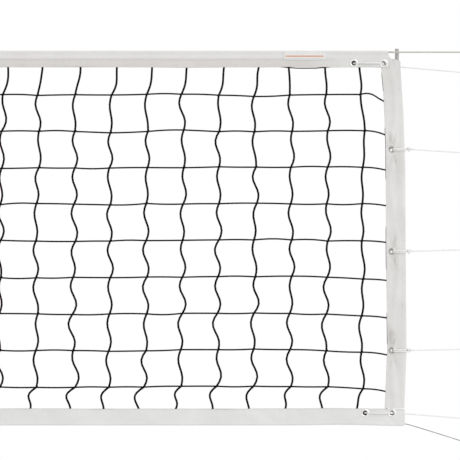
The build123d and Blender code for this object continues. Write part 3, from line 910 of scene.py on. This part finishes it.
# The grey marks near the side grommets are painted shade of the folds there.
side_cloth = cloth_finish("side_band_cloth", (0.735, 0.727, 0.712), (0.66, 0.652, 0.636),
                          [0.0030, float(side_widths[-1]) - 0.0030],
                          fold_shade_marks=[(4.838, -0.237, 0.014, 0.026, 0.30), (4.845, -0.285, 0.010, 0.016, 0.14),
                                  (4.842, -0.514, 0.013, 0.020, 0.20), (4.846, -0.560, 0.012, 0.030, 0.15),
                                  (4.837, -0.763, 0.014, 0.036, 0.52), (4.842, -0.820, 0.014, 0.020, 0.12)])
for side, sign in side_ties.items():
    band = fold_cloth(f"side_band_strip_{side}", len(side_levels) - 1, len(side_across) - 1,
                      side_band_shape(sign), (side_length, side_widths))
    cut_holes(band, [(sign * x, z) for x, z in side_grommets], small_hole + cut_margin)
    give(band, "net", "band_cloth", side_cloth, f"side_band_{side}")
print("side band flat", round(float(side_widths[-1]), 4), "by", round(side_length, 4))

# %% [markdown]
# The rod sits in a sleeve sewn to the back of each side band. The sleeve is a strip that goes round
# the rod and has one foot sewn flat beside it.

# %% The rod sleeves
sleeve_radius = 0.0065
sleeve_angles = np.radians(np.arange(233, -54, -13.0))
sleeve_section = [(rod_x + sleeve_radius * math.cos(a), rod_y + sleeve_radius * math.sin(a))
                  for a in sleeve_angles]
sleeve_section += [(rod_x + 0.0062, 0.0037), (rod_x + 0.0083, 0.0037), (rod_x + 0.0078 + 0.0030, 0.0037)]
sleeve_section = np.array(sleeve_section)
sleeve_widths = widths_of(sleeve_section)
sleeve_top, sleeve_low = -0.0290, -0.9480


def sleeve_shape(sign):
    """The same for the sleeve of one end."""
    def shape(s, j):
        z = sleeve_low + (sleeve_top - sleeve_low) * s
        x, y = sleeve_section[j, 0], sleeve_section[j, 1]
        limit = side_edge(z, outer_outline) - 0.0008
        foot = j >= len(sleeve_angles)
        x = np.where(foot, np.minimum(x, limit), x)
        away = np.where(foot, 0.0, 1.0)
        y = y + away * np.maximum(0, waves(z, 301 + sign, (0.11, 0.047, 0.029), (0.0003, 0.0003, 0.0002)))
        return np.stack([sign * x, y, z], axis=1)
    return shape


sleeve_cloth = cloth_finish("sleeve_cloth", (0.735, 0.727, 0.712), (0.66, 0.652, 0.636),
                            [float(sleeve_widths[-1]) - 0.0022])
for side, sign in side_ties.items():
    sleeve = fold_cloth(f"rod_sleeve_{side}", 160, len(sleeve_section) - 1, sleeve_shape(sign),
                        (sleeve_top - sleeve_low, sleeve_widths))
    give(sleeve, "net", "band_cloth", sleeve_cloth, f"side_band_{side}")
print("sleeve flat width", round(float(sleeve_widths[-1]), 4))

# %% [markdown]
# ## The netting
# The twine is knotted into square meshes. Its rows are pulled nearly straight, but the columns hang
# slack and snake from knot to knot, more so near the bottom. Each habit is one short formula and
# seeded chance does the rest. Near the ends the first row is pulled inward and sags and the last
# column droops low down. Every column leans toward the middle of the net as it enters the bottom band.

# %% Sizes of the mesh
column_count = 98
row_count = 9
mesh_size = 0.0975
last_column = 4.766
first_row = -0.112
column_radius, row_radius = 0.0028, 0.0021
border_top = -0.0385
border_bottom = bottom_band_top - 0.0022
print(column_count, "columns,", row_count, "rows")

# %% Every knot's place
chance = np.random.default_rng(2024)
share = np.linspace(-1, 1, column_count)
column_x = last_column * (share + 0.012 * share * (1 - share ** 2))
from_end = last_column - np.abs(column_x)
outward = np.sign(column_x)[:, None]
row_number = np.arange(row_count)
first_row_pull = -0.012 * np.outer(np.exp(-from_end / 0.30), row_number == 0)
knot_x = (column_x[:, None] + outward * (first_row_pull - 0.0006 * row_number)
          + chance.normal(0, 0.0020, (column_count, row_count)))
end_droop = -0.007 * np.outer(np.exp(-from_end / 0.08), smooth_step(row_number, 3.0, 6.0))
upper_sag = -0.006 * np.outer(np.exp(-((from_end - 0.27) / 0.16) ** 2), np.exp(-row_number / 1.5))
row_sway = waves(column_x, 5, (1.9, 0.83), (0.003, 0.002)) * (1 - np.exp(-from_end / 0.6))
knot_z = (first_row - mesh_size * row_number + end_droop + upper_sag + row_sway[:, None]
          + chance.normal(0, 0.0010, (column_count, row_count)))
print("knots every", round(float(np.diff(column_x).mean()), 4), "m")

# %% How the twine bends between its knots
stretches = (column_count, row_count + 1)
snake_habit = 0.0045 + 0.0030 * np.arange(row_count + 1) / row_count
snake_habit[0], snake_habit[-1] = 0.0005, 0.0045
bow_habit = np.zeros(row_count + 1)
bow_habit[0], bow_habit[-3], bow_habit[-1] = 0.005, -0.004, -0.012
calmer = (1 - 0.55 * np.exp(-from_end / 0.05))[:, None]
snakes = outward * calmer * (snake_habit + chance.uniform(-0.002, 0.002, stretches))
bows = outward * calmer * (bow_habit + chance.normal(0, 0.003, stretches))
top_lean = 0.017 * smooth_step(from_end, 0.20, 0.30) - 0.003
upper_x = knot_x[:, 0] + outward[:, 0] * top_lean
lower_x = knot_x[:, -1] - outward[:, 0] * chance.uniform(0.009, 0.017, column_count)
print("knots from", round(float(knot_x.min()), 3), "to", round(float(knot_x.max()), 3))

# %% [markdown]
# A column is one length of twine: it comes out from between the leaves of the top band, passes each
# knot, and goes into the bottom band. Rows run behind the columns and slip into the side bands, where
# they bend down to meet the border cord.


# %% Columns, rows and border
def bowed(start, end, snake_size, bow_size, count=8):
    """Points from start to end of a twine that snakes and bows sideways between its ends."""
    t = np.linspace(0, 1, count, endpoint=False)
    line = np.outer(1 - t, start) + np.outer(t, end)
    line[:, 0] += -snake_size * np.sin(2 * np.pi * t) + bow_size * np.sin(np.pi * t)
    return line


front_y, behind_y = -0.0013, 0.0013
column_lines = []
for c in range(column_count):
    stops = [(upper_x[c], border_top)] + list(zip(knot_x[c], knot_z[c])) + [(lower_x[c], border_bottom)]
    pieces = []
    for k in range(len(stops) - 1):
        pieces.append(bowed((stops[k][0], 0, stops[k][1]), (stops[k + 1][0], 0, stops[k + 1][1]),
                            snakes[c, k], bows[c, k]))
    line = np.vstack(pieces + [[(stops[-1][0], 0, stops[-1][1])]])
    inside = (smooth_step(-line[:, 2], 0.040, 0.058)
              * smooth_step(line[:, 2], bottom_band_top, bottom_band_top + 0.018))
    line[:, 1] = front_y * inside
    column_lines.append(line)
twine_columns = tube_mesh("twine_columns", column_lines, column_radius, 6)

row_edge_drop = 0.003 + 0.0175 * np.exp(-row_number / 1.8) + 0.005 * smooth_step(row_number, 5, 7)
row_lines = []
for r in range(row_count):
    stops = [(float(knot_x[c, r]), float(knot_z[c, r])) for c in range(column_count)]
    hump = 0.0045 if r == 0 else 0.0
    line = []
    for k in range(len(stops) - 1):
        t = np.linspace(0, 1, 5, endpoint=False)
        sag = chance.normal(0, 0.0012)
        x = stops[k][0] * (1 - t) + stops[k + 1][0] * t
        z = stops[k][1] * (1 - t) + stops[k + 1][1] * t + sag * np.sin(np.pi * t)
        line.append(np.stack([x, np.full(5, behind_y), z], axis=1))
    line = np.vstack(line + [[(stops[-1][0], behind_y, stops[-1][1])]])
    ends = []
    for knot in (stops[0], stops[-1]):
        sign = math.copysign(1, knot[0])
        edge = side_edge(knot[1], inner_outline) + 0.004
        t = np.linspace(0, 1, 9)[1:]
        x = abs(knot[0]) + (edge - abs(knot[0])) * t
        z = knot[1] + hump * np.sin(np.pi * np.minimum(1, 1.35 * t)) - row_edge_drop[r] * t ** 2.2
        y = behind_y * (1 - smooth_step(x, edge - 0.018, edge - 0.004))
        ends.append(np.stack([sign * x, y, z], axis=1))
    row_lines.append(np.vstack([ends[0][::-1], line, ends[1]]))
twine_rows = tube_mesh("twine_rows", row_lines, row_radius, 6)

border_x = np.linspace(-4.830, 4.830, 400)
gap_dip = smooth_step(np.abs(border_x), 4.550, 4.575) * (1 - smooth_step(np.abs(border_x), 4.650, 4.672))
border_lines = [np.stack([border_x, 0 * border_x, border_top - 0.0042 * gap_dip * (border_x > 0)], axis=1),
                np.stack([border_x, 0 * border_x, np.full(400, border_bottom)], axis=1)]
# At four stretches the side border cord is moved out past the band's inner edge, so a thin black line shows
# there: painted shade along that edge.
border_tuck, edge_shade_shift = 0.0045, 0.0041
border_z = np.linspace(border_bottom, border_top, 160)
edge_shade_peeks = sum(smooth_step(border_z, low - 0.02, low) * (1 - smooth_step(border_z, high, high + 0.02))
            for low, high in ((-0.775, -0.700), (-0.575, -0.470), (-0.335, -0.205), (-0.10, -0.060)))
for sign in (1, -1):
    tucked = side_edge(border_z, inner_outline) + border_tuck - edge_shade_shift * edge_shade_peeks
    border_lines.append(np.stack([sign * tucked, 0 * border_z, border_z], axis=1))
twine_border = tube_mesh("twine_border", border_lines, twine_radius, 6)
print("columns", len(twine_columns.data.polygons), "rows", len(twine_rows.data.polygons))

# %% [markdown]
# At each crossing the column is hitched round the row. The hitch is a short turn of twine round both,
# the same small shape at every knot, turned a little from one to the next. It is repeated hundreds of
# times, so it has few faces.

# %% The hitches
hitch_angle = np.linspace(0, 2 * math.pi * 1.25, 9)
hitch_lines = []
for c in range(column_count):
    for r in range(row_count):
        lean = 0.8 + 0.5 * chance.random()
        rise = 0.0016 * (2 * hitch_angle / hitch_angle[-1] - 1)
        x = 0.0026 * np.cos(hitch_angle)
        y = 0.0033 * np.sin(hitch_angle)
        hitch_lines.append(np.stack([knot_x[c, r] + x + rise * math.sin(lean), y,
                                     knot_z[c, r] + rise + x * math.sin(lean) * 0.8], axis=1))
twine_hitches = tube_mesh("twine_hitches", hitch_lines, 0.0015, 5)
print("hitches", len(hitch_lines), "faces", len(twine_hitches.data.polygons))


# %% [markdown]
# Netting twine is black, twisted from a few yarns, matt and slightly furry. The yarns wind round the
# tube on its UV map, and small pale specks of fluff and dust break up the black.

# %% Finish of the twine
def twine_finish():
    """Black three-yarn twine."""
    material, tree, shader = new_finish("black_twine", (0.007, 0.007, 0.008), 0.95, Specular_IOR_Level=0.08)
    along_it, round_it, _ = flat_place(tree)
    yarn = maths(tree, "ABSOLUTE", ridges(tree, along_it, round_it, 0.020, 1.5, twine_radius, 1))
    fibre = ridges(tree, along_it, round_it, 0.009, 16, twine_radius, 1)
    tint = blend_colors(tree, noise(tree, 90.0, 4.0), (0.004, 0.004, 0.005), (0.011, 0.011, 0.012))
    dust = spread(tree, noise(tree, 700.0, 2.0), 0.70, 0.80, 0.0, 0.06)
    tree.links.new(blend_colors(tree, dust, tint, (0.11, 0.11, 0.11)), shader.inputs["Base Color"])
    add_bump(tree, shader, yarn, 0.0005)
    add_bump(tree, shader, fibre, 0.00006)
    return material


black_twine = twine_finish()
give(twine_columns, "net", "netting", black_twine, "net_columns")
give(twine_rows, "net", "netting", black_twine, "net_rows")
give(twine_border, "net", "netting", black_twine, "net_border_cord")
give(twine_hitches, "net", "netting", black_twine, "net_columns", "net_rows")
print("netting finished")

# %% [markdown]
# Behind each grommet a few turns of the same black twine are wound round the white cord. They are
# painted shade: a dark piece put there so that, seen from the front, the holes are dark beside the cord.


# %% Black twine behind the grommets, as painted shade in the holes
def shade_seizing(places, turns, step=0.0029, behind=0.0064):
    """Flat turns of twine wound outwards round a cord, at each (x, z), in one piece: painted shade."""
    lines = []
    for (x, z), count in zip(places, turns):
        angle = np.linspace(0, 2 * math.pi * count, int(26 * count))
        reach = 0.0035 + step * angle / (2 * math.pi)
        lines.append(np.stack([x + reach * np.cos(angle), behind + 0.0005 * np.sin(angle),
                               z + reach * np.sin(angle)], axis=1))
    return lines


held = top_grommets + bottom_grommets + side_grommets
seizing_turns = [2.2, 1.0] * 2 + [1.9] * 3
# Painted shade: black twine behind every grommet hole.
for side, sign in side_ties.items():
    lines = shade_seizing([(sign * x, z) for x, z in held], seizing_turns)
    give(tube_mesh(f"twine_seizings_{side}", lines, twine_radius, 8), "net", "netting", black_twine,
         f"stopper_knots_{side}")
print("seizings wound")

# %% [markdown]
# ## Grommets
# A grommet is two pressed parts: an eyelet with a domed flange at the front and a barrel through the
# cloth, and a washer at the back that the barrel's end is rolled over. Each is a small section spun
# round the hole's axis, modelled once and copied.


# %% One pressed ring, spun
def spun_ring(name, section, steps=44):
    """A closed section of (radius, depth) points spun round the Y axis."""
    mesh = bpy.data.meshes.new(name)
    points = [(radius, depth, 0.0) for radius, depth in section]
    mesh.from_pydata(points, [(i, (i + 1) % len(points)) for i in range(len(points))], [])
    ring = bpy.data.objects.new(name, mesh)
    bpy.context.scene.collection.objects.link(ring)
    select_only(ring)
    bpy.ops.object.mode_set(mode="EDIT")
    bpy.ops.mesh.select_all(action="SELECT")
    bpy.ops.mesh.spin(steps=steps, angle=2 * math.pi, center=(0, 0, 0), axis=(0, 1, 0))
    bpy.ops.mesh.select_all(action="SELECT")
    bpy.ops.mesh.remove_doubles(threshold=0.00001)
    bpy.ops.mesh.normals_make_consistent(inside=False)
    bpy.ops.object.mode_set(mode="OBJECT")
    bpy.ops.object.shade_smooth_by_angle(angle=math.radians(40))
    return ring


def eyelet_section(hole, flange):
    """Domed flange, barrel and the lip that is rolled over at the back."""
    wall = 0.0004
    face = -0.0030
    return [(flange, face), (flange - 0.0002, face - 0.0006), (flange - 0.0009, face - 0.0011),
            (flange - 0.0019, face - 0.0014), (hole + 0.0014, face - 0.0013), (hole + 0.0005, face - 0.0008),
            (hole, face), (hole, 0.0030), (hole + 0.0003, 0.0037), (hole + 0.0010, 0.0043),
            (hole + 0.0017, 0.0044), (hole + 0.0019, 0.0040), (hole + 0.0013, 0.0036),
            (hole + wall, 0.0029), (hole + wall, -0.0026), (hole + 0.0010, face)]


def washer_section(hole, outer):
    """A thin washer, dished where the lip is rolled over it."""
    return [(hole + 0.0005, 0.0030), (outer, 0.0030), (outer, 0.0033), (outer - 0.0006, 0.0038),
            (outer - 0.0014, 0.0040), (hole + 0.0018, 0.0036), (hole + 0.0008, 0.0035)]


def ringed_holes(name, places, hole, flange, washer):
    """The eyelet and washer of one size, copied to each place as one piece."""
    first = [spun_ring(name, eyelet_section(hole, flange)),
             spun_ring(name + "_washer", washer_section(hole, washer))]
    copies = []
    for x, z in places:
        for ring in first:
            copy = bpy.data.objects.new(name, ring.data.copy())
            bpy.context.scene.collection.objects.link(copy)
            copy.data.transform(Matrix.Translation((x, 0, z)))
            copies.append(copy)
    for ring in first:
        bpy.data.objects.remove(ring)
    select_only(*copies)
    bpy.ops.object.join()
    return bpy.context.object


print("ring sections ready")


# %% [markdown]
# Nickel plate is bright but soft in its reflections. Scuffs and dull patches are spread unevenly over
# it, and the side grommets are darker than the others.

# %% Finish of the metal parts
def metal_finish(name, bright, dull, roughness, scuff=180.0):
    """Plated metal with scuffs and dull patches."""
    material, tree, shader = new_finish(name, bright, roughness, 1.0)
    worn = noise(tree, scuff, 5.0)
    tree.links.new(blend_colors(tree, spread(tree, worn, 0.35, 0.75, 0.0, 1.0), bright, dull),
                   shader.inputs["Base Color"])
    uneven_shine(tree, shader, worn, roughness - 0.07, roughness + 0.15)
    add_bump(tree, shader, noise(tree, scuff * 4, 2.0), 0.00004)
    return material


big_nickel = metal_finish("pale_nickel", (0.97, 0.96, 0.94), (0.84, 0.83, 0.81), 0.42)
side_nickel = metal_finish("dark_nickel", (0.60, 0.59, 0.57), (0.26, 0.255, 0.25), 0.24)
ferrule_finish = metal_finish("ferrule_metal", (0.80, 0.80, 0.81), (0.60, 0.60, 0.61), 0.38)
thimble_finish = metal_finish("thimble_metal", (0.74, 0.74, 0.75), (0.50, 0.50, 0.52), 0.30)
for side, sign in side_ties.items():
    for level, places, hole, flange, washer, finish in (
            ("top", top_grommets, big_hole, 0.0107, 0.0107, big_nickel),
            ("bottom", bottom_grommets, big_hole, 0.0107, 0.0107, big_nickel),
            ("side", side_grommets, small_hole, 0.0097, 0.0080, side_nickel)):
        places = [(sign * x, z) for x, z in places]
        rings = ringed_holes(f"{level}_grommets_{side}", places, hole, flange, washer)
        give(rings, "net", "grommet_metal", finish, f"{level}_eyelets_{side}", f"{level}_washers_{side}")
print("grommets ready")


# %% [markdown]
# ## Parts kept from the CAD model
# The rods, ferrules and thimbles already have their true shapes, so they only get finishes. The rod
# is pulled fibreglass: faint glass rovings run along it under a satin resin skin, and pale scuffs are
# scattered over it.

# %% Finishes of the kept parts
def rod_finish():
    """Grey fibreglass with fine streaks along its length."""
    material, tree, shader = new_finish("grey_fibreglass", (0.42, 0.42, 0.41), 0.42, Coat_Weight=0.15)
    streak = noise(tree, 900.0, 3.0, (1.0, 1.0, 0.012))
    patch = noise(tree, 25.0, 3.0)
    streaked = spread(tree, streak, 0.35, 0.65, 0.0, 1.0)
    tint = blend_colors(tree, streaked, (0.36, 0.36, 0.35), (0.52, 0.52, 0.505))
    scuffed = spread(tree, patch, 0.5, 0.8, 0.0, 0.5)
    tree.links.new(blend_colors(tree, scuffed, tint, (0.62, 0.61, 0.59)), shader.inputs["Base Color"])
    uneven_shine(tree, shader, streak, 0.34, 0.52)
    add_bump(tree, shader, streak, 0.00008)
    return material


def repaint(node, material):
    """Gives a CAD node another finish and leaves its shape alone."""
    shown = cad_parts[node]
    if not shown.material_slots:
        shown.data.materials.append(material)
    for place in shown.material_slots:
        place.material = material


grey_fibreglass = rod_finish()
for side in side_ties:
    repaint(f"spreader_rod_{side}", grey_fibreglass)
    for level in ("top", "bottom"):
        repaint(f"{level}_ferrule_{side}", ferrule_finish)
        repaint(f"{level}_thimble_{side}", thimble_finish)
print("kept parts finished")

# %% [markdown]
# ## The label patch
# A small woven patch is sewn to the front of the top band near its right-hand end. Its own mark is
# left out: it keeps the plain white ground, the orange stripe and the thin grey line under it. It
# follows the band's surface, so it is bent to the same ripples, and it stands a little above its top.

# %% The patch
patch_low, patch_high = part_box("label_patch")
patch_width = patch_high.x - patch_low.x
patch_height = patch_high.z - patch_low.z
patch_rows = 12


def patch_shape(s, j):
    """The same for the patch, which lies on the top band's front."""
    x = patch_low.x + patch_width * s
    z = patch_low.z + patch_height * j / patch_rows
    y = np.interp(z, top_section[:16, 1], top_section[:16, 0])
    depth = np.clip(-z / leaf_drop, 0, 1)
    y = y - leaf_ripple(x, depth, 11) - cloth / 2 - 0.0005
    edge = np.minimum(np.minimum(s, 1 - s) * patch_width,
                      np.minimum(j, patch_rows - j) * patch_height / patch_rows)
    y = y - 0.0003 * smooth_step(edge, 0.0, 0.003)
    return np.stack([x, y, z], axis=1)


def patch_finish():
    """White woven patch with an orange stripe, a thin grey line and a stitched border."""
    material, tree, shader = new_finish("label_weave", (0.84, 0.84, 0.83), 0.6, Sheen_Weight=0.1)
    along_it, across_it, _ = flat_place(tree)
    rib = maths(tree, "SINE", maths(tree, "MULTIPLY", across_it, 2 * math.pi / 0.0006))
    color = blend_colors(tree, noise(tree, 60.0, 4.0), (0.82, 0.815, 0.80), (0.76, 0.755, 0.74))
    inset = maths(tree, "COMPARE", along_it, patch_width / 2, patch_width / 2 - 0.0035)
    stripe = maths(tree, "MULTIPLY", maths(tree, "COMPARE", across_it, 0.0099, 0.0016), inset)
    color = blend_colors(tree, stripe, color, (0.66, 0.28, 0.15))
    thin = maths(tree, "MULTIPLY", maths(tree, "COMPARE", across_it, 0.0048, 0.00035), inset)
    color = blend_colors(tree, maths(tree, "MULTIPLY", thin, 0.7), color, (0.35, 0.35, 0.36))
    dash = maths(tree, "LESS_THAN", maths(tree, "FRACT", maths(tree, "MULTIPLY", along_it, 300.0)), 0.7)
    low_row = maths(tree, "COMPARE", across_it, 0.0014, 0.0003)
    high_row = maths(tree, "COMPARE", across_it, patch_height - 0.0014, 0.0003)
    stitch = maths(tree, "MULTIPLY", dash, maths(tree, "MAXIMUM", low_row, high_row))
    color = blend_colors(tree, maths(tree, "MULTIPLY", stitch, 0.5), color, (0.62, 0.62, 0.60))
    tree.links.new(color, shader.inputs["Base Color"])
    add_bump(tree, shader, rib, 0.00005)
    add_bump(tree, shader, stitch, 0.0003)
    return material


patch = fold_cloth("label_patch_cloth", 60, patch_rows, patch_shape,
                   (patch_width, np.linspace(0, patch_height, patch_rows + 1)))
give(patch, "net", "label_cloth", patch_finish(), "label_patch")
print("patch", round(patch_width, 4), "by", round(patch_height, 4))
